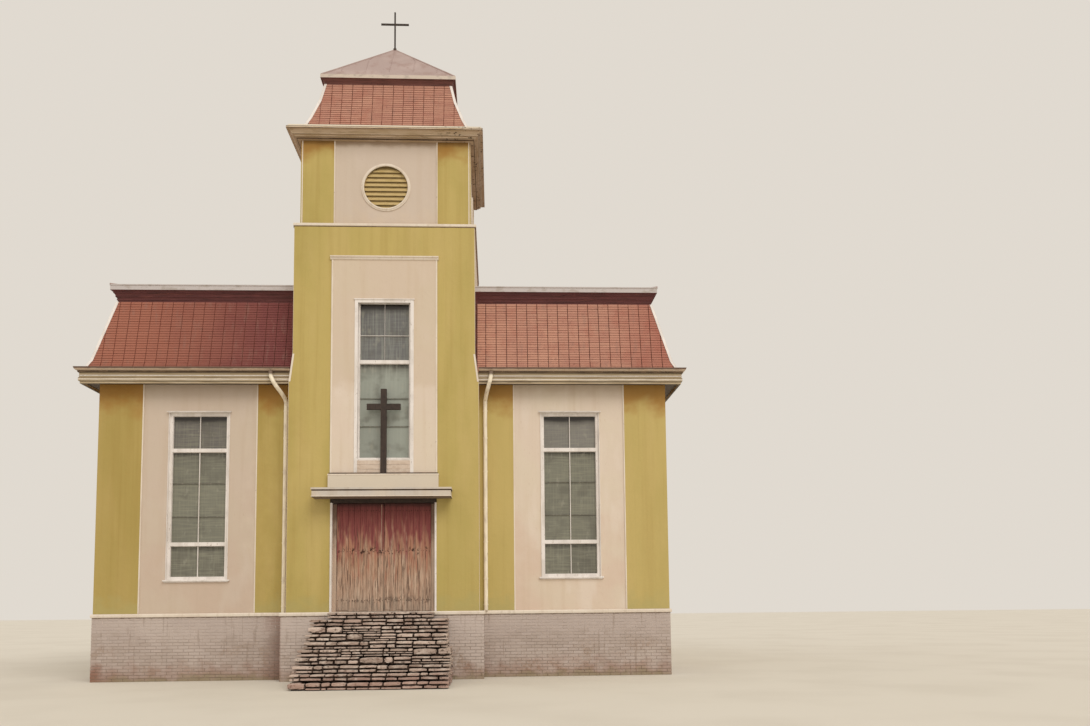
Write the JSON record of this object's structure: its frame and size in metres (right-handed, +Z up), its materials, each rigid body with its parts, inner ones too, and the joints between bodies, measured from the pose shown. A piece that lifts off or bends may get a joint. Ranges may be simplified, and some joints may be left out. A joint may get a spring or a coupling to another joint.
{
  "type": "church",
  "caption": "Small town church: broad nave under a tiled mansard roof, square front tower with louvred belfry, cornice and cross, boarded entrance door, stone steps.",
  "frame": {"origin": "middle of the whole footprint, steps and gutters included, on the lowest ground", "axes": "+Z up, the front with the steps and the door faces -Y, +X to the right of someone who faces the front"},
  "size_m": [14.546, 18.5, 17.647],
  "materials": {
    "ochre_render": "matt",
    "cream_render": "matt",
    "plinth_masonry": "rough",
    "step_stone": "rough",
    "floor_boards": "matt",
    "painted_joinery": "satin",
    "window_glass": "gloss",
    "door_boards": "weathered",
    "louvre_boards": "matt",
    "clay_tiles": "matt",
    "roof_sheet": "weathered",
    "cornice_boards": "satin",
    "gutter_metal": "weathered",
    "wrought_iron": "matt",
    "dark_timber": "matt",
    "canopy_render": "matt"
  },
  "bodies": {
    "building": {"belfry_louvre_front": "louvre_boards", "belfry_louvre_left": "louvre_boards", "belfry_louvre_rear": "louvre_boards", "belfry_louvre_right": "louvre_boards", "belfry_walls": "ochre_render", "cross_pedestal": "cream_render", "door_canopy": "canopy_render", "door_frame": "painted_joinery", "downpipe_left": "gutter_metal", "downpipe_right": "gutter_metal", "eaves_cornice": "cornice_boards", "eaves_gutter": "gutter_metal", "facade_cross": "dark_timber", "floor": "floor_boards", "front_steps": "step_stone", "mansard_cap": "cornice_boards", "mansard_front_left": "clay_tiles", "mansard_front_right": "clay_tiles", "mansard_left": "clay_tiles", "mansard_rear": "clay_tiles", "mansard_right": "clay_tiles", "nave_front_wall_left": "ochre_render", "nave_front_wall_right": "ochre_render", "nave_plinth": "plinth_masonry", "nave_rear_wall": "ochre_render", "nave_wall_left": "ochre_render", "nave_wall_right": "ochre_render", "roof_cross": "wrought_iron", "tower_cornice": "cornice_boards", "tower_front_pier_left": "ochre_render", "tower_front_pier_right": "ochre_render", "tower_front_upper_wall": "ochre_render", "tower_mansard_roof": "clay_tiles", "tower_plinth": "plinth_masonry", "tower_pyramid_roof": "roof_sheet", "tower_rear_wall": "ochre_render", "tower_roof_cap": "cornice_boards", "tower_side_wall_left": "ochre_render", "tower_side_wall_right": "ochre_render", "upper_roof": "roof_sheet", "window_frame_front_left": "painted_joinery", "window_frame_front_right": "painted_joinery", "window_frame_left_1": "painted_joinery", "window_frame_left_2": "painted_joinery", "window_frame_left_3": "painted_joinery", "window_frame_right_1": "painted_joinery", "window_frame_right_2": "painted_joinery", "window_frame_right_3": "painted_joinery", "window_frame_tower": "painted_joinery", "window_glass_front_left": "window_glass", "window_glass_front_right": "window_glass", "window_glass_left_1": "window_glass", "window_glass_left_2": "window_glass", "window_glass_left_3": "window_glass", "window_glass_right_1": "window_glass", "window_glass_right_2": "window_glass", "window_glass_right_3": "window_glass", "window_glass_tower": "window_glass"},
    "door_left": {"door_leaf_left": "door_boards"},
    "door_right": {"door_leaf_right": "door_boards"}
  },
  "joints": [
    {"name": "door_left_hinge", "type": "hinge", "parent": "building", "child": "door_left", "pos_m": [-1.104, -6.294, 2.85], "axis": [0, 0, 1], "range_deg": [0, 90]},
    {"name": "door_right_hinge", "type": "hinge", "parent": "building", "child": "door_right", "pos_m": [1.104, -6.294, 2.85], "axis": [0, 0, -1], "range_deg": [0, 90]}
  ]
}
